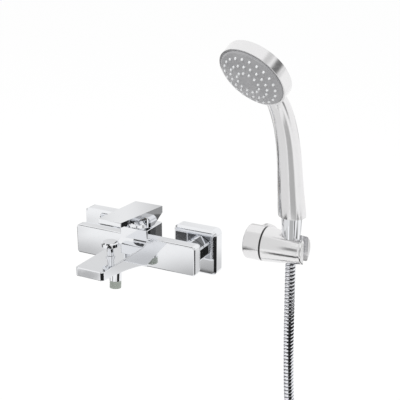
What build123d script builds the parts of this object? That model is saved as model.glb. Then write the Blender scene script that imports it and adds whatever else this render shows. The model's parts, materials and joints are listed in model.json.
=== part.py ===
from build123d import *
import math
import os

# Wall-mounted bath and shower mixer with its hand shower, wall bracket and hose.
# Millimetres. X runs along the wall to the right, Y into the wall, Z up.
# The wall's face is the plane y = 0, so the set stands towards -Y.
# The origin is on the wall, midway between the two water inlets. The eccentric unions
# carry the mixer's own axis a little lower, and every piece is drawn about that axis.

# Water inlets and unions
inlet_spacing = 150.0
union_offset = 6.0
half_inch_thread_r = 10.48
three_quarter_thread_r = 13.22
stud_reach = 14.0
union_flange_y = -6.0
union_flange_thick = 6.0
union_flange_r = 11.5
union_front_y = -28.0
union_bore_r = 7.0
union_wide_bore_r = 8.0
nut_across_flats = 30.0
nut_corner_r = nut_across_flats * 0.55
nut_length = 16.0
nut_gap = 0.5
port_collar_thick = 2.0
valve_wall = 3.0
washer_thick = 1.5

# Rosettes over the unions
rosette_side = 66.0
rosette_depth = 18.0
rosette_wall = 2.0
rosette_corner_r = 7.0
rosette_chamfer = 3.0

# Body casting
bar_length = 192.0
bar_height = 43.0
bar_front_y = -56.0
bar_plate_depth = 14.0
bar_back_depth = 6.5
bar_step = 1.2
bar_edge_r = 2.0
bar_corner_r = 4.0
bar_back_r = 4.0
block_width = 44.0
block_back_y = -14.5
block_top_z = 32.0
block_bottom_z = -bar_height / 2
block_edge_r = 1.5
port_collar_r = 12.8
port_neck_r = 11.4
port_bore_r = 9.0
port_end_wall = 10.0
waterway_r = 5.0
waterway_z = -5.0
feed_port_r = 2.8
feed_port_x = 10.5
feed_port_y = -38.0
outlet_port_y = -26.0
outlet_port_r = 3.6
nipple_top_z = -10.5
nipple_bottom_z = -26.0
nipple_root_r = 10.0
nipple_bore_r = 6.5
nipple_recess_r = 14.5
nipple_recess_z = -18.0

# Spout
spout_width = 43.0
spout_tip_y = -165.0
spout_top_z = 11.5
spout_root_z = 16.5
spout_root_curve = 16.0
root_bend_at = 0.4
root_bend_rise = 0.28
spout_tip_bottom_z = -0.5
spout_mid_y = -100.0
spout_mid_z = -8.0
spout_root_bottom_z = -18.5
spout_edge_r = 1.0
spout_corner_r = 4.0
channel_half_width = 6.0
channel_bottom_z = -3.0
channel_top_z = 5.0
chamber_r = 9.5
chamber_floor_z = -4.0

# Diverter, pulled up to send the water to the hose
diverter_y = -114.0
diverter_travel = 8.0
diverter_cap_r = 11.25
diverter_cap_z = 25.5
diverter_cap_thick = 7.5
diverter_cap_roof = 3.0
diverter_cap_edge = 1.5
diverter_neck_r = 4.6
diverter_rod_r = 2.4
diverter_disc_r = 7.5
diverter_disc_thick = 2.5
diverter_rest_gap = 0.4
diverter_headroom = 1.6
chamber_roof_z = (chamber_floor_z + diverter_rest_gap + diverter_disc_thick + diverter_travel
                  + diverter_headroom)
gland_r = 6.2
gland_thread_r = 4.7
gland_lip = 2.0

# Bath outlet under the spout
outlet_y = -102.0
outlet_lean = -5.0
outlet_boss_r = 10.0
outlet_boss_z = -14.0
collar_r = 8.3
collar_length = 12.2
collar_wall = 1.6
insert_r = 7.8
insert_length = 10.6
collar_grip = 5.0
insert_seat = 4.0
insert_ledge = 1.0
insert_wall = 1.4
insert_floor = 2.5
jet_count = 6
jet_ring_r = 4.0
jet_r = 1.1

# Ceramic cartridge, 35 mm size
cartridge_y = -35.25
cartridge_r = 17.4
cartridge_inner_r = 14.5
cartridge_clearance = 0.3
cartridge_floor_z = 4.0
cartridge_shoulder_z = 26.0
cartridge_neck_r = 12.4
cartridge_neck_z = 35.0
cartridge_roof = 2.0
cartridge_bore_r = 10.2
seal_thick = 1.5
base_thick = 3.0
fixed_disc_thick = 3.5
moving_disc_thick = 3.0
moving_disc_r = 9.0
mixing_hollow_r = 5.0
mixing_hollow_back = 2.0
disc_gap = 0.05
carrier_thick = 5.0
running_fit = 0.06
part_gap = 0.2
loose_gap = 0.3
ring_nut_r = 18.3
pivot_z = 28.0
pin_r = 2.0
pin_end_gap = 0.6
stem_side = 8.0
stem_top_z = 54.5
ball_r = 2.8
ball_neck_r = 2.1
ball_drop = 10.0
dome_r = 19.0
dome_wall = 1.5
dome_opening_r = 14.0

# Lever
lever_back_y = -14.0
lever_front_y = -114.5
lever_back_width = 44.0
lever_front_width = 36.0
lever_back_z = 55.5
lever_front_z = 62.0
lever_front_thick = 6.5
lever_roof_z = 50.0
lever_skirt_front_y = -50.0
lever_skirt_z = 34.0
lever_back_thick = 9.5
lever_skirt_gap = 0.4
lever_boss_r = 7.0
lever_boss_drop = 3.0
lever_edge_r = 1.0
screw_r = 2.5
screw_length = 8.0
plug_r = 3.2
plug_thick = 3.0
lever_screw_z = 51.8

# Wall bracket
bracket_y = -38.0
bracket_z = 39.0
head_x0 = 167.0
head_x1 = 190.0
head_r = 23.0
friction_thick = 2.5
friction_r = 21.5
holder_end_x = 246.0
holder_end_r = 18.5
holder_end_straight = 5.0
holder_edge_r = 2.5
axle_r = 4.0
axle_wall = 8.0
axle_nut_r = 7.0
axle_nut_thick = 5.5
axle_nut_flats = 12.0
axle_tip = 0.5
bolt_head_flats = 13.0
bolt_head_thick = 5.3
bolt_head_room = 7.0
spring_thick = 0.8
arm_r = 11.0
arm_drop = 5.0
foot_r = 18.0
foot_depth = 7.0
foot_wall = 2.0
base_r = 15.7
base_thick_wall = 4.0
wall_screw_spacing = 18.0
wall_screw_r = 2.0
wall_screw_reach = 22.0
wall_screw_head_r = 3.8
wall_screw_head = 0.9
wall_plug_r = 3.0
wall_plug_reach = 25.0
cap_r = 13.0
cap_thick = 2.0
cap_fit = 0.1
cap_proud = 0.6
cap_edge_r = 0.5

# Hand shower
cone_x = 226.0
cone_top_z = 82.0
cone_top_r = 13.3
cone_bottom_z = 26.0
cone_bottom_r = 10.5
cone_clearance = 0.3
cone_runout = 12.0
cone_shoulder_z = 66.0
cone_shoulder_thick = 3.0
flange_thick = 1.7
flange_gap = 0.6
ferrule_wall = 0.8
neck_clearance = 0.6
hose_clearance = 0.7
slot_clearance = 0.6
handset_turn = 15.4
handset_wall = 2.4
handset_floor = 3.0
nipple_head = 6.0
nipple_ledge = 1.5
water_tube_wall = 1.5
tube_end_heading = (0, -1, 1.4)
head_pitch = 36.0
face_forward = 84.0
face_z = 271.2
puck_r = 43.8
puck_depth = 16.7
puck_dome = 3.0
rim_width = 2.2
face_gap = 0.4
face_wall = 2.0
face_crown = 8.3
face_crown_r = 133.0
face_edge = 1.6
face_skirt = 3.0
mat_thick = 1.0
mat_gap = 0.05
nozzle_rings = [14.6, 24.3, 33.8]
nozzle_pitches = [7.64, 8.48, 9.65]
nozzle_r = 1.5
nozzle_tip_r = 1.1
nozzle_height = 1.7
chamber_depth = 6.0
chamber_wall = 2.0
chamber_hole_r = 5.0

# Handle sections: forward offset, height, half width, half depth, lean in degrees
handle_sections = [
    (0.0, 84.0, 18.9, 15.5, 4.0),
    (4.2, 112.0, 18.2, 14.8, 8.0),
    (8.0, 145.0, 16.8, 13.8, 8.0),
    (13.0, 177.0, 15.9, 13.0, 11.0),
    (21.0, 205.0, 15.3, 12.3, 22.0),
    (34.0, 232.0, 14.8, 11.5, 34.0),
    (50.0, 251.0, 14.2, 10.0, 50.0),
    (66.0, 262.0, 12.5, 7.0, 60.0),
]

# Hose
hose_r = 7.0
hose_bore_r = 4.5
arc_share = 0.45
coil_r = 84.0
coil_turns = 2.0
coil_pitch = 14.2
coil_flat = 0.14
tail_length = 68.0
hose_points = [
    (226.0, -38.0, 66.0),
    (226.0, -38.0, -140.0),
    (238.0, -38.0, -244.0),
    (243.0, -38.0, -310.0),
]
end_neck = 5.0
hose_thread_r = 9.5
end_thread_depth = 11.0
end_nut_flats = 24.0
tie_width = 12.0
tie_wall = 1.2
tie_gap = 0.1

UP = (Align.CENTER, Align.CENTER, Align.MIN)
left_and_right = (-inlet_spacing / 2, inlet_spacing / 2)


def save(node, shape):
    """Lower a piece from the mixer's axis to the inlets' frame and write it."""
    export_step(Pos(0, 0, -union_offset) * shape, "parts/" + node + ".step")


def group(pieces):
    """Separate solids kept together in one node."""
    return Compound([solid for piece in pieces for solid in piece.solids()])


def rod(radius, start, end):
    """A round bar between two points that share two coordinates."""
    start_point = Vector(*start)
    direction = Vector(*end) - start_point
    plane = Plane(origin=start_point, z_dir=direction.normalized())
    return extrude(plane * Circle(radius), amount=direction.length)


def tube(outer, inner, start, end):
    return rod(outer, start, end) - rod(inner, start, end)


def hex_bar(across_flats, start, end):
    start_point = Vector(*start)
    direction = Vector(*end) - start_point
    plane = Plane(origin=start_point, z_dir=direction.normalized())
    outline = RegularPolygon(across_flats / 2, 6, major_radius=False)
    return extrude(plane * outline, amount=direction.length)


def block(x0, x1, y0, y1, z0, z1):
    size = Box(x1 - x0, y1 - y0, z1 - z0)
    return Pos((x0 + x1) / 2, (y0 + y1) / 2, (z0 + z1) / 2) * size


def turned(points, axis_plane):
    """A solid of revolution from (radius, height) points about the plane's normal."""
    outline = make_face(Polyline([(r, z) for r, z in points], close=True))
    upright = Plane.XZ * outline
    return axis_plane.location * revolve(upright, Axis.Z)


# Unions, nuts and rosettes

def union(x):
    """The eccentric union: the wall's thread sits higher than the mixer's."""
    flange_front_y = union_flange_y - union_flange_thick
    piece = rod(half_inch_thread_r, (x, union_flange_y, union_offset), (x, stud_reach, union_offset))
    piece += rod(union_flange_r, (x, union_flange_y, union_offset),
                 (x, flange_front_y, union_offset))
    piece += rod(three_quarter_thread_r, (x, union_flange_y, 0), (x, union_front_y, 0))
    piece -= rod(union_bore_r, (x, stud_reach, union_offset), (x, flange_front_y, union_offset))
    return piece - rod(union_wide_bore_r, (x, flange_front_y + 1, 0), (x, union_front_y, 0))


nut_back_y = -rosette_depth - nut_gap
nut_front_y = nut_back_y - nut_length
collar_front_y = union_front_y - washer_thick - port_collar_thick


def union_nut(x):
    nut = hex_bar(nut_across_flats, (x, nut_back_y, 0), (x, nut_front_y, 0))
    nut -= rod(three_quarter_thread_r + running_fit, (x, nut_back_y, 0),
               (x, collar_front_y - part_gap, 0))
    nut -= rod(port_neck_r + loose_gap, (x, nut_back_y, 0), (x, nut_front_y, 0))
    corners = rod(nut_corner_r, (x, nut_back_y, 0), (x, nut_front_y, 0))
    return nut & corners


def rosette(x):
    outline = RectangleRounded(rosette_side, rosette_side, rosette_corner_r)
    facing_out = Plane(origin=(x, 0, 0), x_dir=(1, 0, 0), z_dir=(0, -1, 0))
    shell = extrude(facing_out * outline, amount=rosette_depth)
    front_edges = shell.faces().sort_by(Axis.Y)[0].edges()
    shell = chamfer(front_edges, rosette_chamfer)
    inner_side = rosette_side - 2 * rosette_wall
    inner = RectangleRounded(inner_side, inner_side, rosette_corner_r - rosette_wall)
    cavity = extrude(facing_out * inner, amount=rosette_depth - rosette_wall)
    cavity = chamfer(cavity.faces().sort_by(Axis.Y)[0].edges(), rosette_chamfer)
    shell -= cavity
    return shell - rod(three_quarter_thread_r + part_gap, (x, 0, 0), (x, -rosette_depth, 0))


def union_washer(x):
    return tube(port_collar_r, union_wide_bore_r, (x, union_front_y, 0),
                (x, union_front_y - washer_thick, 0))


def check_valve(x):
    front_y = bar_front_y + bar_plate_depth + 1
    return tube(port_bore_r - running_fit, port_bore_r - valve_wall, (x, union_front_y - washer_thick, 0),
                (x, front_y, 0))


# Body casting

def bar():
    half = bar_length / 2
    plate_back_y = bar_front_y + bar_plate_depth
    back_y = plate_back_y + bar_back_depth
    tall = bar_height / 2
    plate = block(-half, half, bar_front_y, plate_back_y, -tall, tall)
    plate = fillet(plate.edges().filter_by(Axis.Y), bar_corner_r)
    for front_or_back in (0, -1):
        plate = fillet(plate.faces().sort_by(Axis.Y)[front_or_back].edges(), bar_edge_r)
    rear = block(-half + bar_step, half - bar_step, plate_back_y - bar_edge_r * 2, back_y,
                 -tall + bar_step, tall - bar_step)
    rear = fillet(rear.edges().filter_by(Axis.Y), bar_corner_r)
    rear = fillet(rear.faces().sort_by(Axis.Y)[-1].edges(), bar_back_r)
    return plate + rear


def central_block():
    half = block_width / 2
    piece = block(-half, half, bar_front_y, block_back_y, block_bottom_z, block_top_z)
    piece = fillet(piece.edges().filter_by(Axis.Z), block_edge_r)
    return fillet(piece.faces().sort_by(Axis.Z)[-1].edges(), block_edge_r / 2)


def spout():
    root_y = bar_front_y + bar_plate_depth / 2
    curve_y = bar_front_y - spout_root_curve
    outline = Polyline((root_y, spout_root_z), (bar_front_y, spout_root_z))
    top_curve = ThreePointArc(
        (bar_front_y, spout_root_z),
        (bar_front_y - spout_root_curve * root_bend_at,
         spout_top_z + (spout_root_z - spout_top_z) * root_bend_rise),
        (curve_y, spout_top_z),
    )
    tip = Polyline((curve_y, spout_top_z), (spout_tip_y, spout_top_z),
                   (spout_tip_y, spout_tip_bottom_z))
    under = ThreePointArc((spout_tip_y, spout_tip_bottom_z), (spout_mid_y, spout_mid_z),
                          (bar_front_y, spout_root_bottom_z))
    closing = Polyline((bar_front_y, spout_root_bottom_z), (root_y, spout_root_bottom_z),
                       (root_y, spout_root_z))
    side = Plane(origin=(-spout_width / 2, 0, 0), x_dir=(0, 1, 0), z_dir=(1, 0, 0))
    face = make_face([outline, top_curve, tip, under, closing])
    piece = extrude(side * face, amount=spout_width)
    tip = piece.faces().sort_by(Axis.Y)[0]
    piece = fillet(tip.edges().filter_by(Axis.Z), spout_corner_r)
    tip = piece.faces().sort_by(Axis.Y)[0]
    return fillet(tip.edges().filter_by(Axis.X), spout_edge_r)


outlet_axis = Plane(origin=(0, outlet_y, chamber_floor_z)).rotated((outlet_lean, 0, 0))


def along_outlet(radius, near, far):
    """A round bar on the leaning outlet's axis, by distance below the chamber's floor."""
    piece = Cylinder(radius, far - near, align=UP)
    return outlet_axis.location * Pos(0, 0, -far) * piece


boss_drop = chamber_floor_z - outlet_boss_z


def mixer_body():
    body = bar() + central_block() + spout()
    body += along_outlet(outlet_boss_r, -1, boss_drop)
    back_y = bar_front_y + bar_plate_depth + bar_back_depth
    for x in left_and_right:
        body += rod(port_neck_r, (x, back_y - 1, 0), (x, collar_front_y + 1, 0))
        body += rod(port_collar_r, (x, collar_front_y, 0), (x, collar_front_y + port_collar_thick, 0))
        bore_end_y = bar_front_y + port_end_wall
        body -= rod(port_bore_r, (x, 0, 0), (x, bore_end_y, 0))
        side = math.copysign(1, x)
        way_y = bar_front_y + bar_plate_depth - 2
        body -= rod(waterway_r, (x, way_y, waterway_z), (side * feed_port_x, way_y, waterway_z))
        body -= rod(feed_port_r, (side * feed_port_x, feed_port_y, waterway_z),
                    (side * feed_port_x, feed_port_y, cartridge_floor_z))
    # Cartridge seat, with the ring nut's thread above it
    top = block_top_z + 1
    body -= rod(cartridge_r + cartridge_clearance, (0, cartridge_y, cartridge_floor_z),
                (0, cartridge_y, top))
    body -= rod(ring_nut_r + running_fit, (0, cartridge_y, cartridge_shoulder_z),
                (0, cartridge_y, top))
    # Mixed water: a drop from the cartridge, then forward along the spout
    body -= rod(outlet_port_r, (0, outlet_port_y, channel_bottom_z + 1),
                (0, outlet_port_y, cartridge_floor_z))
    body -= block(-channel_half_width, channel_half_width, diverter_y, outlet_port_y,
                  channel_bottom_z, cartridge_floor_z - 2)
    body -= block(-channel_half_width, channel_half_width, diverter_y,
                  bar_front_y - spout_root_curve, channel_bottom_z, channel_top_z)
    body -= rod(chamber_r, (0, diverter_y, chamber_floor_z), (0, diverter_y, chamber_roof_z))
    body -= rod(gland_thread_r, (0, diverter_y, chamber_roof_z), (0, diverter_y, spout_top_z + 1))
    body -= along_outlet(collar_r - collar_wall, -1, boss_drop + 1)
    body -= along_outlet(collar_r, boss_drop - collar_grip, boss_drop + 1)
    # Recess and screwed hole for the hose's nipple, under the block
    body -= rod(nipple_recess_r, (0, cartridge_y, nipple_recess_z),
                (0, cartridge_y, block_bottom_z))
    body -= rod(nipple_root_r, (0, cartridge_y, nipple_top_z), (0, cartridge_y, nipple_recess_z))
    body -= rod(outlet_port_r, (0, cartridge_y, nipple_top_z),
                (0, cartridge_y, channel_bottom_z + 1))
    return body


def shower_nipple():
    """The threaded nipple that the hose screws on to."""
    root = rod(nipple_root_r, (0, cartridge_y, nipple_top_z), (0, cartridge_y, nipple_recess_z))
    thread = rod(half_inch_thread_r, (0, cartridge_y, nipple_recess_z),
                 (0, cartridge_y, nipple_bottom_z))
    return root + thread - rod(nipple_bore_r, (0, cartridge_y, nipple_top_z),
                               (0, cartridge_y, nipple_bottom_z))


# Bath outlet

def outlet_collar():
    end = boss_drop + collar_length
    piece = along_outlet(collar_r, boss_drop - collar_grip, end)
    piece -= along_outlet(insert_r - insert_ledge, boss_drop - collar_grip - 1, end + 1)
    return piece - along_outlet(insert_r + running_fit, boss_drop + insert_seat, end + 1)


def outlet_insert():
    start = boss_drop + insert_seat + loose_gap
    end = boss_drop + collar_length + insert_length
    piece = along_outlet(insert_r, start, end)
    piece -= along_outlet(insert_r - insert_wall, start + insert_floor, end + 1)
    for k in range(jet_count):
        turn = 2 * math.pi * k / jet_count
        hole = Pos(jet_ring_r * math.cos(turn), jet_ring_r * math.sin(turn), -end)
        hole *= Cylinder(jet_r, end - start + 1, align=UP)
        piece -= outlet_axis.location * hole
    return piece


# Cartridge and its covers

base_z = cartridge_floor_z + seal_thick
fixed_z = base_z + base_thick
moving_z = fixed_z + fixed_disc_thick + disc_gap
carrier_z = moving_z + moving_disc_thick
spindle_z = carrier_z + carrier_thick + loose_gap
cartridge_axis = Plane(origin=(0, cartridge_y, 0))
cartridge_ports = [
    (-feed_port_x, feed_port_y, feed_port_r),
    (feed_port_x, feed_port_y, feed_port_r),
    (0, outlet_port_y, outlet_port_r),
]


def cartridge_housing():
    inner = cartridge_shoulder_z - cartridge_roof
    points = [
        (cartridge_inner_r, base_z), (cartridge_r, base_z), (cartridge_r, cartridge_shoulder_z),
        (cartridge_neck_r, cartridge_shoulder_z), (cartridge_neck_r, cartridge_neck_z),
        (cartridge_bore_r, cartridge_neck_z), (cartridge_bore_r, inner),
        (cartridge_inner_r, inner),
    ]
    return turned(points, cartridge_axis)


def ported_disc(radius, z0, z1):
    piece = rod(radius, (0, cartridge_y, z0), (0, cartridge_y, z1))
    for x, y, r in cartridge_ports:
        piece -= rod(r, (x, y, z0), (x, y, z1))
    return piece


def port_seals():
    rings = []
    for x, y, r in cartridge_ports:
        rings.append(tube(r + 1, r, (x, y, cartridge_floor_z), (x, y, base_z)))
    return group(rings)


def moving_disc():
    piece = rod(moving_disc_r, (0, cartridge_y, moving_z), (0, cartridge_y, carrier_z))
    hollow = Pos(0, cartridge_y + mixing_hollow_back, moving_z) \
        * Cylinder(mixing_hollow_r, moving_disc_thick / 2, align=UP)
    return piece - hollow


def disc_carrier():
    top = carrier_z + carrier_thick
    piece = rod(moving_disc_r, (0, cartridge_y, carrier_z), (0, cartridge_y, top))
    ball_z = pivot_z - ball_drop
    pocket_r = ball_r + loose_gap
    return piece - rod(pocket_r, (0, cartridge_y, ball_z - pocket_r), (0, cartridge_y, top))


def spindle():
    neck_r = cartridge_bore_r - running_fit
    flange_r = cartridge_inner_r - loose_gap
    flange_top = cartridge_shoulder_z - cartridge_roof - loose_gap
    points = [
        (0, spindle_z), (flange_r, spindle_z), (flange_r, flange_top),
        (neck_r, flange_top), (neck_r, cartridge_neck_z + 2), (0, cartridge_neck_z + 2),
    ]
    piece = turned(points, cartridge_axis)
    half = stem_side / 2 + part_gap
    reach = neck_r - 1
    piece -= block(-half, half, cartridge_y - reach, cartridge_y + reach,
                   spindle_z - 1, cartridge_neck_z + 3)
    return piece - rod(pin_r, (-neck_r - 1, cartridge_y, pivot_z), (neck_r + 1, cartridge_y, pivot_z))


def spindle_pin():
    reach = cartridge_bore_r - pin_end_gap
    return rod(pin_r, (-reach, cartridge_y, pivot_z), (reach, cartridge_y, pivot_z))


def lever_stem():
    half = stem_side / 2
    piece = block(-half, half, cartridge_y - half, cartridge_y + half,
                  pivot_z - half, stem_top_z)
    ball_z = pivot_z - ball_drop
    piece += rod(ball_neck_r, (0, cartridge_y, ball_z), (0, cartridge_y, pivot_z))
    piece += Pos(0, cartridge_y, ball_z) * Sphere(ball_r)
    hole_r = pin_r + running_fit
    return piece - rod(hole_r, (-half - 1, cartridge_y, pivot_z), (half + 1, cartridge_y, pivot_z))


def ring_nut():
    return tube(ring_nut_r, cartridge_neck_r + loose_gap, (0, cartridge_y, cartridge_shoulder_z),
                (0, cartridge_y, block_top_z))


def dome_cap():
    ball = Sphere(dome_r) - Sphere(dome_r - dome_wall)
    ball = Pos(0, cartridge_y, pivot_z) * ball
    opening_z = pivot_z + math.sqrt(dome_r ** 2 - dome_opening_r ** 2)
    half = dome_r + 1
    keep = block(-half, half, cartridge_y - half, cartridge_y + half, block_top_z, opening_z)
    return ball & keep


# Lever

def lever():
    side = Plane(origin=(-lever_back_width / 2, 0, 0), x_dir=(0, 1, 0), z_dir=(1, 0, 0))
    outline = Polyline(
        (lever_back_y, lever_back_z), (lever_front_y, lever_front_z),
        (lever_front_y, lever_front_z - lever_front_thick),
        (lever_skirt_front_y - 4, lever_roof_z + 1), (lever_skirt_front_y, lever_roof_z - 3),
        (lever_skirt_front_y, lever_skirt_z), (cartridge_y, lever_skirt_z),
        (lever_back_y, lever_back_z - lever_back_thick), close=True,
    )
    piece = extrude(side * make_face(outline), amount=lever_back_width)
    plan = Polyline(
        (-lever_back_width / 2, lever_back_y), (lever_back_width / 2, lever_back_y),
        (lever_front_width / 2, lever_front_y), (-lever_front_width / 2, lever_front_y), close=True,
    )
    piece &= Pos(0, 0, lever_skirt_z - 1) * extrude(make_face(plan), amount=lever_front_z)
    top_edges = piece.faces().sort_by(Axis.Z)[-1].edges()
    piece = fillet(top_edges, lever_edge_r)
    inner = dome_r_at_skirt() + lever_skirt_gap
    piece -= block(-inner, inner, lever_skirt_front_y - 8, lever_back_y + 1,
                   lever_skirt_z - 1, lever_roof_z)
    piece += rod(lever_boss_r, (0, cartridge_y, lever_roof_z - lever_boss_drop),
                 (0, cartridge_y, lever_roof_z + 1))
    half = stem_side / 2 + running_fit
    piece -= block(-half, half, cartridge_y - half, cartridge_y + half,
                   lever_roof_z - lever_boss_drop - 1, stem_top_z)
    piece -= rod(screw_r + running_fit, (0, cartridge_y, lever_screw_z),
                 (0, lever_back_y + 1, lever_screw_z))
    return piece - rod(plug_r + running_fit, (0, lever_back_y - plug_thick, lever_screw_z),
                       (0, lever_back_y + 1, lever_screw_z))


def dome_r_at_skirt():
    """Radius of the dome at the height of the lever's lower edge."""
    return math.sqrt(dome_r ** 2 - (lever_skirt_z - pivot_z) ** 2)


def lever_screw():
    stem_back = cartridge_y + stem_side / 2
    z = lever_screw_z
    return rod(screw_r, (0, stem_back, z), (0, stem_back + screw_length, z))


def lever_plug():
    z = lever_screw_z
    return rod(plug_r, (0, lever_back_y - plug_thick, z), (0, lever_back_y - part_gap, z))


# Diverter

def diverter_gland():
    piece = rod(gland_r, (0, diverter_y, spout_top_z), (0, diverter_y, spout_top_z + gland_lip))
    piece += rod(gland_thread_r - running_fit, (0, diverter_y, chamber_roof_z),
                 (0, diverter_y, spout_top_z))
    return piece - rod(diverter_rod_r + running_fit, (0, diverter_y, chamber_roof_z),
                       (0, diverter_y, spout_top_z + gland_lip))


rod_top_z = diverter_cap_z + diverter_cap_thick - diverter_cap_roof
rod_bottom_z = chamber_floor_z + diverter_rest_gap
neck_bottom_z = spout_top_z + gland_lip + loose_gap


def diverter_knob():
    top_z = diverter_cap_z + diverter_cap_thick
    axis = Plane(origin=(0, diverter_y, 0))
    points = [
        (0, neck_bottom_z), (diverter_neck_r, neck_bottom_z), (diverter_neck_r, diverter_cap_z - 2),
        (diverter_neck_r + 3, diverter_cap_z), (diverter_cap_r, diverter_cap_z + diverter_cap_edge),
        (diverter_cap_r, top_z - diverter_cap_edge), (diverter_cap_r - diverter_cap_edge, top_z),
        (0, top_z),
    ]
    knob = turned(points, axis)
    return knob - rod(diverter_rod_r, (0, diverter_y, neck_bottom_z), (0, diverter_y, rod_top_z))


def diverter_rod():
    return rod(diverter_rod_r, (0, diverter_y, rod_bottom_z), (0, diverter_y, rod_top_z))


def diverter_disc():
    z0 = rod_bottom_z
    return tube(diverter_disc_r, diverter_rod_r, (0, diverter_y, z0),
                (0, diverter_y, z0 + diverter_disc_thick))


# Wall bracket

axle_line = Plane(origin=(0, bracket_y, bracket_z), x_dir=(0, 1, 0), z_dir=(1, 0, 0))
friction_x = head_x1
holder_x0 = head_x1 + friction_thick
axle_end_x = holder_x0 + axle_wall + 1 + axle_nut_thick + axle_tip
bolt_seat_x = head_x0 + cap_thick + bolt_head_room
arm_z = bracket_z - arm_drop


def along_axle(radius, x0, x1):
    return rod(radius, (x0, bracket_y, bracket_z), (x1, bracket_y, bracket_z))


def bracket_head():
    piece = along_axle(head_r, head_x0, head_x1)
    piece = fillet(piece.faces().sort_by(Axis.X)[0].edges(), holder_edge_r)
    piece += rod(arm_r, (head_mid_x, bracket_y, arm_z), (head_mid_x, -foot_depth, arm_z))
    piece += rod(foot_r, (head_mid_x, -foot_depth, arm_z), (head_mid_x, 0, arm_z))
    piece -= rod(foot_r - foot_wall, (head_mid_x, -foot_depth + foot_wall, arm_z),
                 (head_mid_x, 0, arm_z))
    piece -= along_axle(axle_r, head_x0 - 1, head_x1 + 1)
    piece -= along_axle(axle_nut_r + 1, head_x0 - 1, bolt_seat_x)
    return piece - along_axle(cap_r, head_x0 - 1, head_x0 + cap_thick)


def head_cap():
    cap = along_axle(cap_r - cap_fit, head_x0 - cap_proud, head_x0 + cap_thick)
    return fillet(cap.faces().sort_by(Axis.X)[0].edges(), cap_edge_r)


def axle_bolt():
    bolt = along_axle(axle_r, bolt_seat_x, axle_end_x)
    return bolt + hex_bar(bolt_head_flats, (bolt_seat_x - bolt_head_thick, bracket_y, bracket_z),
                          (bolt_seat_x, bracket_y, bracket_z))


def axle_nut():
    x0 = holder_x0 + axle_wall + 1
    nut = hex_bar(axle_nut_flats, (x0, bracket_y, bracket_z), (x0 + axle_nut_thick, bracket_y, bracket_z))
    return nut - along_axle(axle_r, x0 - 1, x0 + axle_nut_thick + 1)


def spring_washer():
    x0 = holder_x0 + axle_wall + part_gap
    return along_axle(axle_nut_r - loose_gap, x0, x0 + spring_thick) \
        - along_axle(axle_r, x0 - 1, x0 + 2)


def friction_ring():
    return along_axle(friction_r, friction_x, friction_x + friction_thick - part_gap) \
        - along_axle(axle_r, friction_x - 1, friction_x + friction_thick + 1)


def cone_r(z):
    """Radius of the conical nut at a height."""
    share = (z - cone_bottom_z) / (cone_top_z - cone_bottom_z)
    return cone_bottom_r + share * (cone_top_r - cone_bottom_r)


def socket_cone(margin):
    low_z = cone_bottom_z - cone_runout
    high_z = cone_top_z
    cutter = Cone(cone_r(low_z) + margin, cone_r(high_z) + margin, high_z - low_z, align=UP)
    return Pos(cone_x, bracket_y, low_z) * cutter


def holder():
    points = [
        (0, holder_x0), (head_r, holder_x0), (holder_end_r, holder_end_x - holder_end_straight),
        (holder_end_r, holder_end_x), (0, holder_end_x),
    ]
    piece = turned(points, axle_line)
    piece = fillet(piece.faces().sort_by(Axis.X)[-1].edges(), holder_edge_r)
    piece -= along_axle(axle_r + running_fit, holder_x0 - 1, cone_x)
    piece -= along_axle(axle_nut_r + 1, holder_x0 + axle_wall, cone_x)
    piece -= socket_cone(cone_clearance)
    slot = hose_r + slot_clearance
    return piece - block(cone_x, holder_end_x + 1, bracket_y - slot, bracket_y + slot,
                         bracket_z - head_r, bracket_z + head_r)


head_mid_x = (head_x0 + head_x1) / 2
screw_xs = (head_mid_x - wall_screw_spacing / 2, head_mid_x + wall_screw_spacing / 2)


def bracket_base():
    base = rod(base_r, (head_mid_x, -base_thick_wall, arm_z), (head_mid_x, 0, arm_z))
    for x in screw_xs:
        base -= rod(wall_screw_r, (x, -base_thick_wall, arm_z), (x, 0, arm_z))
    return base


def wall_screw(x):
    seat_y = -base_thick_wall
    screw = rod(wall_screw_r, (x, seat_y, arm_z), (x, wall_screw_reach, arm_z))
    return screw + rod(wall_screw_head_r, (x, seat_y - wall_screw_head, arm_z),
                       (x, seat_y, arm_z))


def wall_plug(x):
    plug = rod(wall_plug_r, (x, 0, arm_z), (x, wall_plug_reach, arm_z))
    return plug - rod(wall_screw_r, (x, 0, arm_z), (x, wall_screw_reach, arm_z))


# Hand shower

handset_place = Pos(cone_x, bracket_y, 0) * Rot(0, 0, -handset_turn)
pitch = math.radians(head_pitch)
face_plane = Plane(origin=(0, -face_forward, face_z), x_dir=(1, 0, 0),
                   z_dir=(0, -math.cos(pitch), -math.sin(pitch)))


def handle_solid(inset):
    faces = []
    for forward, z, half_width, half_depth, lean in handle_sections:
        angle = math.radians(lean)
        plane = Plane(origin=(0, -forward, z), x_dir=(1, 0, 0),
                      z_dir=(0, -math.sin(angle), math.cos(angle)))
        faces.append(plane * Ellipse(half_width - inset, half_depth - inset))
    return loft(faces)


def puck(radius, front, back, dome):
    """A disc behind the spray face, from front to back, with a domed back."""
    points = Polyline((0, front), (radius, front), (radius, back + dome))
    crown = ThreePointArc((radius, back + dome), (radius / 2, back + dome / 4), (0, back))
    close = Line((0, back), (0, front))
    outline = make_face([points, crown, close])
    return face_plane.location * revolve(Plane.XZ * outline, Axis.Z)


face_r = puck_r - rim_width - face_gap
chamber_front = -face_skirt - face_gap


def on_face(piece):
    """Put a piece that is drawn about the face's axis on the handset."""
    return handset_place * face_plane.location * piece


def crown_height(r, drop):
    """Height of the face's crown above the rim, or of a surface the given drop below it."""
    return face_crown + math.sqrt(face_crown_r ** 2 - r ** 2) - face_crown_r - drop


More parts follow.
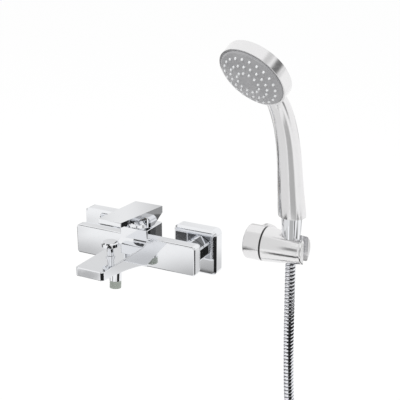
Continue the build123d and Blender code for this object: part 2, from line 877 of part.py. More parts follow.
def crowned(radius, bottom, drop):
    """A round plate with a crowned front, the given drop below the face's own."""
    shoulder_r = radius - face_edge
    shoulder_z = crown_height(shoulder_r, drop)
    middle_r = shoulder_r / 2
    sides = Polyline((0, bottom), (radius, bottom), (radius, shoulder_z - face_edge),
                     (shoulder_r, shoulder_z))
    crown = ThreePointArc((shoulder_r, shoulder_z), (middle_r, crown_height(middle_r, drop)),
                          (0, face_crown - drop))
    closing = Line((0, face_crown - drop), (0, bottom))
    return revolve(Plane.XZ * make_face([sides, crown, closing]), Axis.Z)


def nozzle_places():
    """Each nozzle's distance from the axis and its place in the face's plane."""
    for ring_r, pitch_along in zip(nozzle_rings, nozzle_pitches):
        count = round(2 * math.pi * ring_r / pitch_along)
        for k in range(count):
            turn = 2 * math.pi * k / count
            yield ring_r, ring_r * math.cos(turn), ring_r * math.sin(turn)


def handset_body():
    outer = handle_solid(0) + puck(puck_r, 0, -puck_depth - puck_dome, puck_dome + 2)
    bottom = handle_sections[0][1]
    inner = handle_solid(handset_wall) - block(-cone_x, cone_x, -cone_x, cone_x,
                                               bottom - 1, bottom + handset_floor)
    cavity = puck(puck_r - handset_wall, chamber_front,
                  -puck_depth - puck_dome + handset_wall, puck_dome + 2)
    seat = face_plane.location * Pos(0, 0, chamber_front - 1) \
        * Cylinder(face_r + face_gap, face_skirt + 5, align=UP)
    body = outer - inner - cavity - seat
    body -= rod(half_inch_thread_r, (0, 0, bottom - 1), (0, 0, bottom + handset_floor + 1))
    return handset_place * body


def face_plate():
    plate = crowned(face_r, -face_skirt, 0)
    plate -= crowned(face_r - face_wall, -face_skirt - 1, face_wall)
    for _, x, y in nozzle_places():
        plate -= Pos(x, y, 0) * Cylinder(nozzle_r + mat_gap, face_crown + 1, align=UP)
    return on_face(plate)


def nozzle_mat():
    """The soft mat behind the face, with a nozzle through each of its holes."""
    drop = face_wall + mat_gap
    mat = crowned(face_r - drop, 0, drop)
    mat -= crowned(face_r - drop - mat_thick, -1, drop + mat_thick)
    for ring_r, x, y in nozzle_places():
        root = crown_height(ring_r, drop + mat_thick / 2)
        shoulder = crown_height(ring_r, 0)
        mat += Pos(x, y, root) * Cylinder(nozzle_r, shoulder - root, align=UP)
        mat += Pos(x, y, shoulder) * Cone(nozzle_r, nozzle_tip_r, nozzle_height, align=UP)
    return on_face(mat)


def spray_chamber():
    """The cup behind the mat, fed through the hole in its floor."""
    radius = face_r - face_gap
    floor_z = chamber_front - chamber_depth
    cup = Pos(0, 0, floor_z) * Cylinder(radius, chamber_depth, align=UP)
    cup -= Pos(0, 0, floor_z + chamber_wall) * Cylinder(radius - chamber_wall, chamber_depth, align=UP)
    return on_face(cup - Pos(0, 0, floor_z - 1) * Cylinder(chamber_hole_r, chamber_depth, align=UP))


def conical_nut():
    nut = Pos(cone_x, bracket_y, cone_bottom_z) \
        * Cone(cone_bottom_r, cone_top_r, cone_top_z - cone_bottom_z, align=UP)
    nut -= rod(hose_r + hose_clearance, (cone_x, bracket_y, cone_bottom_z - 1),
               (cone_x, bracket_y, cone_shoulder_z))
    nut -= rod(hose_r + hose_clearance + neck_clearance, (cone_x, bracket_y, cone_shoulder_z - 1),
               (cone_x, bracket_y, cone_shoulder_z + cone_shoulder_thick))
    return nut - rod(half_inch_thread_r + running_fit,
                     (cone_x, bracket_y, cone_shoulder_z + cone_shoulder_thick),
                     (cone_x, bracket_y, cone_top_z + 1))


flange_z = cone_shoulder_z + cone_shoulder_thick + loose_gap
nipple_z = flange_z + flange_thick + loose_gap + washer_thick


def hose_ferrule():
    neck = rod(hose_r + ferrule_wall, (cone_x, bracket_y, cone_shoulder_z), (cone_x, bracket_y, flange_z))
    top_z = flange_z + flange_thick
    flange = rod(half_inch_thread_r - flange_gap, (cone_x, bracket_y, flange_z),
                 (cone_x, bracket_y, top_z))
    return neck + flange - rod(hose_bore_r, (cone_x, bracket_y, cone_shoulder_z - 1),
                               (cone_x, bracket_y, top_z + 1))


def handset_washer():
    return tube(half_inch_thread_r - flange_gap, hose_bore_r, (cone_x, bracket_y, nipple_z - washer_thick),
                (cone_x, bracket_y, nipple_z))


def handset_nipple():
    floor_z = handle_sections[0][1] + handset_floor
    piece = tube(half_inch_thread_r, hose_bore_r, (cone_x, bracket_y, nipple_z),
                 (cone_x, bracket_y, floor_z + nipple_head))
    head = tube(half_inch_thread_r + nipple_ledge, hose_bore_r, (cone_x, bracket_y, floor_z),
                (cone_x, bracket_y, floor_z + nipple_head))
    return piece + head


def water_tube():
    bottom = handle_sections[0][1] + handset_floor + nipple_head
    points = [(0, -handle_sections[0][0], bottom)]
    for forward, z, _, _, _ in handle_sections[2:6]:
        points.append((0, -forward, z))
    path = Spline(*points, tangents=[(0, 0, 1), tube_end_heading])
    ring = Circle(hose_bore_r + water_tube_wall) - Circle(hose_bore_r)
    return handset_place * sweep(Plane(origin=path @ 0, z_dir=path % 0) * ring, path)


# Hose

def route_radii(points):
    """The largest arc at each inner point that its two runs leave room for."""
    radii = []
    for before, here, after in zip(points, points[1:], points[2:]):
        first = Vector(*here) - Vector(*before)
        second = Vector(*after) - Vector(*here)
        turn = math.radians(first.get_angle(second))
        shorter = min(first.length, second.length)
        radii.append(arc_share * shorter / math.tan(turn / 2))
    return radii


def hose_tube():
    radii = route_radii(hose_points)
    print("hose arc radii:", [round(r) for r in radii])
    path = FilletPolyline(*hose_points, radius=radii)
    section = Plane(origin=path @ 0, z_dir=path % 0) * Circle(hose_r)
    piece = sweep(section, path)
    expected = path.length * math.pi * hose_r ** 2
    print("hose length %.1f, volume share %.4f" % (path.length, piece.volume / expected))
    return piece


coil_centre_x = hose_points[-1][0] - coil_r
coil_centre_z = hose_points[-1][2]
coil_end_y = hose_points[-1][1] - coil_turns * coil_pitch


def hose_coil():
    start_y = hose_points[-1][1]
    middle_y = (start_y + coil_end_y) / 2
    depth = start_y - coil_end_y + 2 * hose_r
    ring = Plane(origin=(coil_centre_x, middle_y, coil_centre_z), x_dir=(1, 0, 0), z_dir=(0, -1, 0))
    outline = Pos(coil_r, 0) * RectangleRounded(2 * hose_r, depth, hose_r - coil_flat)
    return ring.location * revolve(Plane.XZ * outline, Axis.Z)


tail_x = hose_points[-1][0]
tail_top_z = coil_centre_z
tail_bottom_z = tail_top_z - tail_length


def hose_tail():
    return rod(hose_r, (tail_x, coil_end_y, tail_top_z), (tail_x, coil_end_y, tail_bottom_z))


def hose_end_nut():
    """The free nut on the hose's end: a narrow neck round the hose, then the thread."""
    top_z = tail_bottom_z + end_neck
    low_z = tail_bottom_z - end_thread_depth
    here = (tail_x, coil_end_y)
    nut = hex_bar(end_nut_flats, (*here, top_z), (*here, low_z))
    nut -= rod(hose_r + slot_clearance, (*here, top_z), (*here, low_z))
    return nut - rod(hose_thread_r, (*here, tail_bottom_z), (*here, low_z))


def coil_tie():
    """A flat band round both turns at the top of the ring."""
    half = tie_width / 2
    inside_r = coil_r - hose_r
    low_z = coil_centre_z + math.sqrt(inside_r ** 2 - half ** 2) - tie_gap
    high_z = coil_centre_z + coil_r + hose_r + tie_gap
    front_y = coil_end_y - hose_r - tie_gap
    back_y = hose_points[-1][1] + hose_r + tie_gap
    outer = block(coil_centre_x - half, coil_centre_x + half, front_y - tie_wall,
                  back_y + tie_wall, low_z - tie_wall, high_z + tie_wall)
    return outer - block(coil_centre_x - tie_width, coil_centre_x + tie_width, front_y, back_y,
                         low_z, high_z)


def pair(piece):
    """The left and right copies of a small part, kept as one group."""
    return group([piece(x) for x in left_and_right])


os.makedirs("parts", exist_ok=True)

save("mixer_body", mixer_body())
save("left_union", union(left_and_right[0]))
save("right_union", union(left_and_right[1]))
save("left_union_nut", union_nut(left_and_right[0]))
save("right_union_nut", union_nut(left_and_right[1]))
save("left_rosette", rosette(left_and_right[0]))
save("right_rosette", rosette(left_and_right[1]))
save("union_washers", pair(union_washer))
save("check_valves", pair(check_valve))
save("shower_nipple", shower_nipple())
save("outlet_collar", outlet_collar())
save("outlet_insert", outlet_insert())
save("cartridge_housing", cartridge_housing())
save("cartridge_base", ported_disc(cartridge_inner_r, base_z, fixed_z))
save("cartridge_seals", port_seals())
save("fixed_disc", ported_disc(cartridge_inner_r - 1, fixed_z, moving_z - disc_gap))
save("moving_disc", moving_disc())
save("disc_carrier", disc_carrier())
save("spindle", spindle())
save("spindle_pin", spindle_pin())
save("lever_stem", lever_stem())
save("cartridge_nut", ring_nut())
save("dome_cap", dome_cap())
save("lever", lever())
save("lever_screw", lever_screw())
save("lever_plug", lever_plug())
save("diverter_gland", diverter_gland())
save("diverter_knob", diverter_knob())
save("diverter_rod", diverter_rod())
save("diverter_disc", diverter_disc())
save("bracket_head", bracket_head())
save("bracket_cap", head_cap())
save("bracket_base", bracket_base())
save("wall_screws", group([wall_screw(x) for x in screw_xs]))
save("wall_plugs", group([wall_plug(x) for x in screw_xs]))
save("axle_bolt", axle_bolt())
save("axle_nut", axle_nut())
save("spring_washer", spring_washer())
save("friction_ring", friction_ring())
save("handset_holder", holder())
save("conical_nut", conical_nut())
save("hose_ferrule", hose_ferrule())
save("handset_washer", handset_washer())
save("handset_nipple", handset_nipple())
save("handset_body", handset_body())
save("water_tube", water_tube())
save("spray_chamber", spray_chamber())
save("face_plate", face_plate())
save("spray_nozzles", nozzle_mat())
save("hose_tube", hose_tube())
save("hose_coil", hose_coil())
save("hose_tail", hose_tail())
save("hose_end_nut", hose_end_nut())
save("coil_tie", coil_tie())
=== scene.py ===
import json
import math
import bpy
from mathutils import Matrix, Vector


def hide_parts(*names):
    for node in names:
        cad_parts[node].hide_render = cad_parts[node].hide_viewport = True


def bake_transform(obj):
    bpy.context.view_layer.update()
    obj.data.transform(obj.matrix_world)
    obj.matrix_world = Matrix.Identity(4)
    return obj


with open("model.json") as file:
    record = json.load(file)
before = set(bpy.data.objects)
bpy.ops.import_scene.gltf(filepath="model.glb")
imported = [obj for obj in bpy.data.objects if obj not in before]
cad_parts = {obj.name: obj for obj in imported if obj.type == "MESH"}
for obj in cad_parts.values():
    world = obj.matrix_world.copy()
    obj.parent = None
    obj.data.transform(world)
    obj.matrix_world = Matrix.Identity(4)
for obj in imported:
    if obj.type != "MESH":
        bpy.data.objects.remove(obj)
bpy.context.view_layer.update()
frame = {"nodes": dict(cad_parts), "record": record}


def new_object(name, data):
    """A new object of the scene with this data."""
    item = bpy.data.objects.new(name, data)
    bpy.context.scene.collection.objects.link(item)
    return item


def aim(item, place, target):
    item.location = place
    item.rotation_euler = (target - place).to_track_quat("-Z", "Y").to_euler()


# Camera

CAMERA_AT = Vector((0.6227, -1.0318, 0.4647))
LOOK_AT = Vector((0.090, -0.030, 0.074))
LENS = 80.7
SENSOR_WIDTH = 36


def make_camera():
    data = bpy.data.cameras.new("camera")
    data.lens = LENS
    data.sensor_width = SENSOR_WIDTH
    data.sensor_fit = "HORIZONTAL"
    camera = new_object("camera", data)
    aim(camera, CAMERA_AT, LOOK_AT)
    bpy.context.scene.camera = camera


# Node trees

class Graph:
    """Short hand for adding joined nodes to one tree."""

    def __init__(self, tree):
        self.tree = tree

    def set(self, socket, value):
        if isinstance(value, bpy.types.NodeSocket):
            self.tree.links.new(value, socket)
        else:
            socket.default_value = value

    def add(self, kind, inputs=None, **settings):
        """A new node. Its inputs go by name, or by place where a name isn't the node's only one."""
        node = self.tree.nodes.new(kind)
        for name, value in settings.items():
            setattr(node, name, value)
        for name, value in (inputs or {}).items():
            self.set(node.inputs[name], value)
        return node

    def math(self, operation, a, b=0.0):
        return self.add("ShaderNodeMath", {0: a, 1: b}, operation=operation).outputs[0]

    def multiply(self, place, factors):
        return self.add("ShaderNodeVectorMath", {0: place, 1: factors},
                        operation="MULTIPLY").outputs["Vector"]

    def ray(self, kind):
        return self.add("ShaderNodeLightPath").outputs[kind]

    def patched_white(self, place, patches):
        """White with soft grey patches, as FLOOR_PATCHES and SKY_PATCHES list them."""
        white = 1.0
        for x, y, half_x, half_y, turn, tone, level in patches:
            spot = self.add("ShaderNodeMapping", {
                "Vector": place, "Location": (x, y, 0), "Rotation": (0, 0, math.radians(turn)),
                "Scale": (half_x, half_y, 1)}, vector_type="TEXTURE").outputs["Vector"]
            away = self.add("ShaderNodeVectorMath", {0: spot}, operation="LENGTH").outputs["Value"]
            patch = self.add("ShaderNodeMapRange", {
                "Value": away, "From Min": level, "From Max": 1.0, "To Min": tone, "To Max": 1.0},
                interpolation_type="SMOOTHSTEP").outputs["Result"]
            white = self.math("MULTIPLY", white, patch)
        return white


class Surface(Graph):
    """One node material in the making."""

    def __init__(self, name):
        self.material = bpy.data.materials.new(name)
        self.material.use_nodes = True
        super().__init__(self.material.node_tree)
        self.shader = self.tree.nodes["Principled BSDF"]
        self.place = self.add("ShaderNodeNewGeometry").outputs["Position"]

    def noise(self, grains, detail=3.0, stretch=None):
        """A noise with about this many grains to the metre."""
        place = self.multiply(self.place, stretch) if stretch else self.place
        return self.add("ShaderNodeTexNoise", {"Vector": place, "Scale": grains,
                        "Detail": detail}).outputs["Fac"]

    def spread(self, value, low, high, in_low=0.3, in_high=0.7):
        """Takes in_low to low and in_high to high. A noise mostly keeps between 0.3 and 0.7."""
        return self.add("ShaderNodeMapRange", {"Value": value, "From Min": in_low,
                        "From Max": in_high, "To Min": low, "To Max": high}).outputs["Result"]

    def blend(self, factor, a, b):
        """A colour between a and b. A colour Mix node has A, B and its result at 6, 7 and 2."""
        return self.add("ShaderNodeMix", {0: factor, 6: a, 7: b}, data_type="RGBA").outputs[2]

    def two_tones(self, colour, dull, grains):
        return self.blend(self.spread(self.noise(grains), 0.0, 1.0), rgba(colour), rgba(dull))

    def bump(self, height, strength, distance):
        bump = self.add("ShaderNodeBump", {"Height": height, "Strength": strength,
                        "Distance": distance})
        self.set(self.shader.inputs["Normal"], bump.outputs["Normal"])

    def glow(self, colour, strength=1.0):
        return self.add("ShaderNodeEmission", {"Color": colour,
                        "Strength": strength}).outputs["Emission"]

    def mix(self, share, first, second):
        """Two shaders in one, with this share of the second."""
        return self.add("ShaderNodeMixShader", {0: share, 1: first, 2: second}).outputs["Shader"]

    def show(self, shader):
        self.set(self.tree.nodes["Material Output"].inputs["Surface"], shader)

    def finish(self, **values):
        for name, value in values.items():
            self.set(self.shader.inputs[name.replace("_", " ")], value)
        return self.material


def rgba(colour):
    return (*colour, 1.0)


def grey(tone):
    return rgba((tone, tone, tone))


WHITE = grey(1.0)


# Materials

def plated(name, colour, dull, rough=(0.035, 0.07)):
    """Polished plate: a clear mirror with faint uneven polish."""
    surface = Surface(name)
    surface.bump(surface.noise(grains=60.0, detail=2.0), strength=0.02, distance=0.0004)
    return surface.finish(Base_Color=surface.two_tones(colour, dull, grains=9.0), Metallic=1.0,
                          Roughness=surface.spread(surface.noise(grains=140.0), *rough))


def turned(name, colour, dull, rough=(0.22, 0.34)):
    """Machined metal: satin with fine tool marks."""
    surface = Surface(name)
    marks = surface.noise(grains=900.0, detail=2.0, stretch=(1, 1, 5))
    surface.bump(marks, strength=0.12, distance=0.0002)
    return surface.finish(Base_Color=surface.two_tones(colour, dull, grains=60.0), Metallic=1.0,
                          Roughness=surface.spread(surface.noise(grains=300.0), *rough))


def moulded(name, colour, dull, rough=(0.35, 0.5), grain=0.1):
    """Moulded plastic, silicone or ceramic: a fine grain and slightly uneven colour."""
    surface = Surface(name)
    surface.bump(surface.noise(grains=1400.0, detail=2.0), strength=grain, distance=0.0002)
    return surface.finish(Base_Color=surface.two_tones(colour, dull, grains=40.0),
                          Roughness=surface.spread(surface.noise(grains=200.0), *rough))


def ribbed(name, colour, dull, groove_shade, rough=(0.10, 0.18)):
    """Wound metal: bright crests with painted shade in the gaps between them, after the crest
    heights in the hose's mesh.
    """
    surface = Surface(name)
    crest = surface.add("ShaderNodeAttribute", attribute_name="crest").outputs["Fac"]
    unshaded_share = surface.spread(crest, 0.0, 1.0, in_low=0.18, in_high=0.62)
    # Painted shade: the grooves between the ribs take the dark colour where the crest height is
    # low.
    tone = surface.blend(unshaded_share, rgba(groove_shade), surface.two_tones(colour, dull, grains=200.0))
    return surface.finish(Base_Color=tone, Metallic=1.0,
                          Roughness=surface.spread(surface.noise(grains=400.0), *rough))


# Each look's kind, its two tones and what else its kind takes, in that order.
LOOKS = {
    "chrome": (plated, (0.87, 0.88, 0.90), (0.83, 0.84, 0.86)),
    "warm_chrome": (plated, (0.85, 0.845, 0.85), (0.81, 0.805, 0.81), (0.14, 0.20)),
    "brass": (turned, (0.78, 0.62, 0.30), (0.70, 0.54, 0.25)),
    "steel": (turned, (0.62, 0.62, 0.63), (0.52, 0.52, 0.54)),
    # The hose's last colour is painted shade for the grooves between its ribs.
    "hose_metal": (ribbed, (0.90, 0.91, 0.94), (0.82, 0.83, 0.87), (0.08, 0.08, 0.09)),
    "rubber": (moulded, (0.05, 0.05, 0.05), (0.035, 0.035, 0.035), (0.55, 0.7)),
    "ceramic": (moulded, (0.92, 0.92, 0.90), (0.88, 0.88, 0.86), (0.12, 0.2), 0.02),
    "cartridge_plastic": (moulded, (0.80, 0.80, 0.78), (0.74, 0.74, 0.72)),
    "white_plastic": (moulded, (0.86, 0.86, 0.84), (0.80, 0.80, 0.78)),
    "outlet_plastic": (moulded, (0.45, 0.49, 0.44), (0.40, 0.44, 0.39)),
    "face_plastic": (moulded, (0.43, 0.43, 0.44), (0.38, 0.38, 0.39), (0.28, 0.38), 0.05),
    "nozzle_silicone": (moulded, (0.96, 0.97, 0.98), (0.92, 0.93, 0.94), (0.3, 0.45)),
    "black_plastic": (moulded, (0.03, 0.03, 0.03), (0.02, 0.02, 0.02)),
}
MATERIALS = {name: kind(name, *values) for name, (kind, *values) in LOOKS.items()}
SLOTS = {part["node"]: part["material_slot"] for part in frame["record"]["subparts"]}


def dress_nodes():
    for name, node in frame["nodes"].items():
        for place in node.material_slots:
            place.material = MATERIALS[SLOTS[name]]


# Hose

HOSE_TOP = (0.226, -0.038, 0.060)
HOSE_RUN = [HOSE_TOP, (0.226, -0.038, -0.146), (0.238, -0.038, -0.250), (0.243, -0.038, -0.316)]
HOSE_R = 0.0070
COIL_CENTRE = (0.159, -0.316)
COIL_R = 0.084
COIL_TURNS = 2
COIL_PITCH = 0.0142
COIL_STEPS = 24
TAIL_LENGTH = 0.068
SPLINE_STEPS = 24
RIB_PITCH = 0.0052
RIB_DEPTH = 0.0007
RINGS_PER_RIB = 8
SIDES = 24


def hose_route():
    """The given points, the coil's turns and the tail, as one run of control points."""
    points = list(HOSE_RUN)
    start_y = HOSE_TOP[1]
    turn = 2 * math.pi / COIL_STEPS
    # A quadratic spline passes inside its control points, by this ratio on an even circle.
    reach = COIL_R / (0.75 + 0.25 * math.cos(turn))
    for step in range(1, COIL_TURNS * COIL_STEPS):
        angle = -turn * step
        points.append((COIL_CENTRE[0] + reach * math.cos(angle),
                       start_y - COIL_PITCH * step / COIL_STEPS,
                       COIL_CENTRE[1] + reach * math.sin(angle)))
    end_x = HOSE_RUN[-1][0]
    end_y = start_y - COIL_PITCH * COIL_TURNS
    points.append((end_x, end_y, COIL_CENTRE[1]))
    points.append((end_x, end_y, COIL_CENTRE[1] - TAIL_LENGTH))
    return points


def smooth_line(points):
    """The points of the quadratic spline that has these control points."""
    curve = bpy.data.curves.new("route", "CURVE")
    curve.dimensions = "3D"
    curve.resolution_u = SPLINE_STEPS
    spline = curve.splines.new("NURBS")
    spline.points.add(len(points) - 1)
    for place, point in zip(spline.points, points):
        place.co = (*point, 1.0)
    spline.order_u = 3
    spline.use_endpoint_u = True
    carrier = new_object("route", curve)
    bpy.context.view_layer.update()
    mesh = bpy.data.meshes.new_from_object(carrier)
    line = [vertex.co.copy() for vertex in mesh.vertices]
    bpy.data.objects.remove(carrier)
    bpy.data.meshes.remove(mesh)
    return line


def even_steps(line, step):
    """The same line in even steps of about this length, and the step's true length."""
    total = sum((b - a).length for a, b in zip(line, line[1:]))
    count = round(total / step)
    spacing = total / count
    out = [line[0]]
    left = spacing
    for a, b in zip(line, line[1:]):
        span = (b - a).length
        while left <= span and len(out) < count:
            out.append(a.lerp(b, left / span))
            left += spacing
        left -= span
    out.append(line[-1])
    return out, spacing


def ribbed_skin(line, step):
    """Rings of corners along the line, with one rib wound round it, and each one's height on it."""
    corners = []
    crests = []
    side = Vector((1, 0, 0))
    for row, point in enumerate(line):
        ahead = line[min(row + 1, len(line) - 1)] - line[max(row - 1, 0)]
        ahead.normalize()
        side = (side - ahead * side.dot(ahead)).normalized()
        up = ahead.cross(side)
        for k in range(SIDES):
            angle = 2 * math.pi * k / SIDES
            phase = (row * step / RIB_PITCH - k / SIDES) % 1.0
            crest = math.sin(math.pi * phase)
            radius = HOSE_R - RIB_DEPTH * (1 - crest)
            crests.append(crest)
            corners.append(point + (side * math.cos(angle) + up * math.sin(angle)) * radius)
    return corners, crests


def tube_faces(rows):
    """The faces between rings of SIDES corners, with both ends closed."""
    faces = []
    for row in range(rows - 1):
        for k in range(SIDES):
            a = row * SIDES + k
            b = row * SIDES + (k + 1) % SIDES
            faces.append((a, b, b + SIDES, a + SIDES))
    faces.append(tuple(range(SIDES - 1, -1, -1)))
    last = (rows - 1) * SIDES
    faces.append(tuple(range(last, last + SIDES)))
    return faces


def make_hose():
    line, step = even_steps(smooth_line(hose_route()), RIB_PITCH / RINGS_PER_RIB)
    corners, crests = ribbed_skin(line, step)
    mesh = bpy.data.meshes.new("shower_hose")
    mesh.from_pydata(corners, [], tube_faces(len(line)))
    # The crest heights also tell the hose material where to paint shade in its grooves.
    mesh.attributes.new("crest", "FLOAT", "POINT").data.foreach_set("value", crests)
    mesh.materials.append(MATERIALS["hose_metal"])
    mesh.shade_smooth()
    hose = new_object("shower_hose", mesh)
    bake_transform(hose)
    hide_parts("hose_tube", "hose_coil", "hose_tail")


# Surroundings

# The floor lies just below the coil, which is the lowest piece.
FLOOR_Z = -0.4095
FLOOR_REACH = 14.0
FLOOR_TONE = 0.9
FLOOR_ROUGHNESS = 0.9
# The camera sees this share of the floor as plain white of this strength, and the rest as it is
# lit, so the floor is white and keeps the part's soft shadow.
WHITE_SHARE = 0.80
WHITE_STRENGTH = 1.12
# How strongly the world lights the part. To the camera and through clear surfaces it is at 1.
WORLD_LIGHT = 0.5

# Name, place and power of each lamp. All have one size and look at one spot.
LAMPS = [
    ("key", Vector((-0.9, -1.6, 1.9)), 28),
    ("fill", Vector((1.9, -0.9, 1.0)), 10),
]
LAMP_SIZE = 1.4
LAMP_TARGET = Vector((0.1, 0, 0))

# What polished surfaces see: white, with soft grey patches. Each row is the centre, the half
# widths, the turn in degrees, the tone and how much of the patch is level before it fades.
# On the floor the centre is x, y in metres; in the sky it is azimuth, elevation in degrees,
# azimuth 0 being straight in front and growing to the right.
FLOOR_PATCHES = [
    (0.78, 1.03, 0.17, 0.17, 0, 0.32, 0.5),
    (0.57, 0.74, 0.18, 0.18, 0, 0.74, 0.4),
    (-0.66, -0.78, 0.20, 0.17, 0, 0.58, 0.2),
    (-0.77, -0.93, 0.08, 0.08, 0, 0.85, 0.2),
    (-0.28, -0.76, 0.24, 0.26, 0, 0.45, 0.1),
    (-0.555, -0.905, 0.06, 0.07, 0, 0.52, 0.5),
    (1.05, -0.05, 0.30, 0.32, 0, 0.25, 0.5),
    (0.72, -1.08, 0.38, 0.20, 45, 0.42, 0.35),
    (0.30, -1.20, 0.20, 0.12, 0, 0.60, 0.3),
    (0.50, -0.84, 0.13, 0.10, 0, 0.72, 0.3),
    (3.00, -0.20, 0.80, 1.00, 0, 0.45, 0.3),
    (-3.00, -0.10, 0.90, 1.20, 0, 0.45, 0.3),
    (0.00, 3.20, 1.50, 0.90, 0, 0.45, 0.3),
    (-0.45, 0.95, 0.30, 0.25, 0, 0.08, 0.3),
    (-0.75, 0.60, 0.20, 0.20, 0, 0.31, 0.4),
    (-0.95, 1.05, 0.20, 0.25, 0, 0.30, 0.4),
    (-1.05, -0.15, 0.32, 0.50, 0, 0.55, 0.2),
    (-1.25, 0.30, 0.45, 0.45, 0, 0.15, 0.5),
    (-0.58, -0.15, 0.32, 0.38, 0, 0.22, 0.6),
    (-0.58, -1.40, 0.25, 0.20, 0, 0.15, 0.5),
]
SKY_PATCHES = [
    (-154, 9, 8, 13, 0, 0.25, 0.0),
    (-146, 23, 10, 6, 0, 0.78, 0.3),
    (-60, 60, 20, 5, 0, 0.45, 0.3),
    (98, 20, 15, 20, 0, 0.15, 0.35),
    (82, 48, 14, 14, 0, 0.65, 0.4),
    (94, 2, 24, 8, 0, 0.40, 0.3),
    (-92, 8, 28, 10, 0, 0.30, 0.3),
    (62, -5, 18, 40, 0, 0.10, 0.5),
    (-142, 14, 7, 5, 0, 0.50, 0.2),
    (6, 34, 10, 9, 0, 0.22, 0.6),
    (-9, 14, 8, 14, 0, 0.20, 0.5),
    (-108, 25, 14, 12, 0, 0.12, 0.4),
    (138, 27, 14, 12, 0, 0.22, 0.4),
    (-15, 5, 30, 8, 0, 0.82, 0.3),
    (-12, 38, 13, 8, 0, 0.85, 0.3),
]


def level_corners(x_range, y_range, z):
    (x_low, x_high), (y_low, y_high) = x_range, y_range
    return [(x_low, y_low, z), (x_high, y_low, z), (x_high, y_high, z), (x_low, y_high, z)]


def upright_corners(start, end, heights):
    low, high = heights
    return [(*start, low), (*end, low), (*end, high), (*start, high)]


# Cards are seen only in reflections. Each flat one is its corners and its tone: two over the mixer
# and one under it are for the dark lines along its edges, and one behind it is for the block's
# right side.
CARDS = [
    (level_corners((-0.40, -0.165), (-0.33, -0.12), 0.19), 0.05),
    (level_corners((-0.085, 0.03), (-0.33, -0.12), 0.19), 0.05),
    (level_corners((-0.30, -0.04), (-0.36, -0.10), -0.20), 0.10),
    (upright_corners((0.110, 0.149), (0.140, 0.131), (-0.075, -0.030)), 0.13),
]

# Curved cards stand round these upright lines: front corners of the spout, the right rosette and
# the bar, the middle line of the hose, and a line by the handle.
SPOUT_CORNER = (0.0215, -0.165)
ROSETTE_CORNER = (0.108, -0.018)
BAR_CORNER = (-0.096, -0.056)
HOSE_LINE = HOSE_TOP[:2]
HANDLE_LINE = (0.240, -0.050)
# Each one's line, radius, azimuths, heights and tone.
ARCS = [
    (SPOUT_CORNER, 0.10, (-25, 30), (-0.060, -0.031), 0.02),
    (SPOUT_CORNER, 0.10, (30, 112), (-0.056, -0.031), 0.02),
    (ROSETTE_CORNER, 0.20, (15, 125), (-0.125, -0.055), 0.02),
    (BAR_CORNER, 0.15, (-120, -60), (-0.100, -0.035), 0.02),
    (HOSE_LINE, 0.14, (15, 85), (-0.38, -0.08), 0.02),
    (HANDLE_LINE, 0.12, (-80, -18), (0.012, 0.24), 0.82),
    (HANDLE_LINE, 0.25, (-8, 40), (-0.10, 0.25), 0.50),
    (HOSE_LINE, 0.14, (47, 57), (-0.04, 0.020), 0.05),
]
ARC_STEPS = 12


def arc_corners(centre, radius, azimuths, heights):
    """Pairs of corners round an upright line, azimuth 0 being in front of it."""
    start, end = azimuths
    corners = []
    for step in range(ARC_STEPS + 1):
        angle = math.radians(start + (end - start) * step / ARC_STEPS)
        for z in heights:
            corners.append((centre[0] + radius * math.sin(angle),
                            centre[1] - radius * math.cos(angle), z))
    return corners


def make_card(name, corners, faces, tone):
    mesh = bpy.data.meshes.new(name)
    mesh.from_pydata(corners, [], faces)
    card = new_object(name, mesh)
    card.visible_camera = False
    card.visible_diffuse = False
    card.visible_shadow = False
    card.visible_transmission = False
    surface = Surface(name)
    surface.show(surface.glow(grey(tone)))
    mesh.materials.append(surface.material)


def make_cards():
    for number, (corners, tone) in enumerate(CARDS):
        make_card(f"card_{number}", corners, [(0, 1, 2, 3)], tone)
    strip_faces = [(k, k + 1, k + 3, k + 2) for k in range(0, 2 * ARC_STEPS, 2)]
    for number, (*place, tone) in enumerate(ARCS):
        make_card(f"arc_{number}", arc_corners(*place), strip_faces, tone)


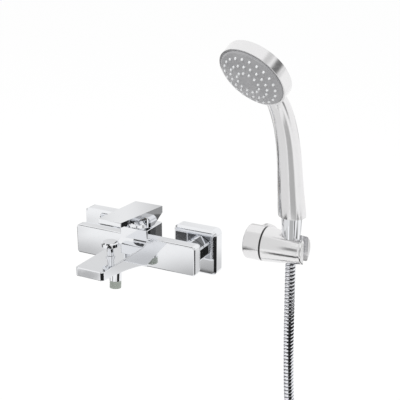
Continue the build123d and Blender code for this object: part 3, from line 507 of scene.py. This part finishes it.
def make_floor():
    mesh = bpy.data.meshes.new("floor")
    whole = (-FLOOR_REACH, FLOOR_REACH)
    mesh.from_pydata(level_corners(whole, whole, FLOOR_Z), [], [(0, 1, 2, 3)])
    floor = new_object("floor", mesh)
    surface = Surface("floor")
    mesh.materials.append(surface.finish(Base_Color=grey(FLOOR_TONE), Specular_IOR_Level=0.0,
                                         Roughness=FLOOR_ROUGHNESS))
    share = surface.math("MULTIPLY", surface.ray("Is Camera Ray"), WHITE_SHARE)
    plain = surface.mix(share, surface.shader.outputs["BSDF"], surface.glow(WHITE, WHITE_STRENGTH))
    flat = surface.multiply(surface.place, (1, 1, 0))
    patched = surface.glow(surface.patched_white(flat, FLOOR_PATCHES))
    surface.show(surface.mix(surface.ray("Is Glossy Ray"), plain, patched))


def make_world():
    world = bpy.data.worlds.new("world")
    world.use_nodes = True
    graph = Graph(world.node_tree)
    way = graph.add("ShaderNodeTexCoord").outputs["Generated"]
    x, y, z = graph.add("ShaderNodeSeparateXYZ", {0: way}).outputs
    azimuth = graph.math("ARCTAN2", x, graph.math("MULTIPLY", y, -1.0))
    degrees = 180 / math.pi
    place = graph.add("ShaderNodeCombineXYZ", {
        "X": graph.math("MULTIPLY", azimuth, degrees),
        "Y": graph.math("MULTIPLY", graph.math("ARCSINE", z), degrees)}).outputs["Vector"]
    seen = graph.math("MAXIMUM", graph.ray("Is Camera Ray"), graph.ray("Is Transmission Ray"))
    plain = graph.math("ADD", graph.math("MULTIPLY", seen, 1 - WORLD_LIGHT), WORLD_LIGHT)
    patched = graph.patched_white(place, SKY_PATCHES)
    # A plain Mix node has its factor, A, B and result at 0, 2, 3 and 0.
    both = graph.add("ShaderNodeMix", {0: graph.ray("Is Glossy Ray"), 2: plain, 3: patched})
    background = world.node_tree.nodes["Background"]
    graph.set(background.inputs["Color"], WHITE)
    graph.set(background.inputs["Strength"], both.outputs[0])
    bpy.context.scene.world = world


def make_lamps():
    for name, place, power in LAMPS:
        data = bpy.data.lights.new(name, "AREA")
        data.shape = "SQUARE"
        data.size = LAMP_SIZE
        data.energy = power
        lamp = new_object(name, data)
        aim(lamp, place, LAMP_TARGET)
        lamp.visible_glossy = False


make_camera()
dress_nodes()
make_hose()
make_world()
make_floor()
make_cards()
make_lamps()
bpy.context.scene.view_settings.view_transform = "Standard"
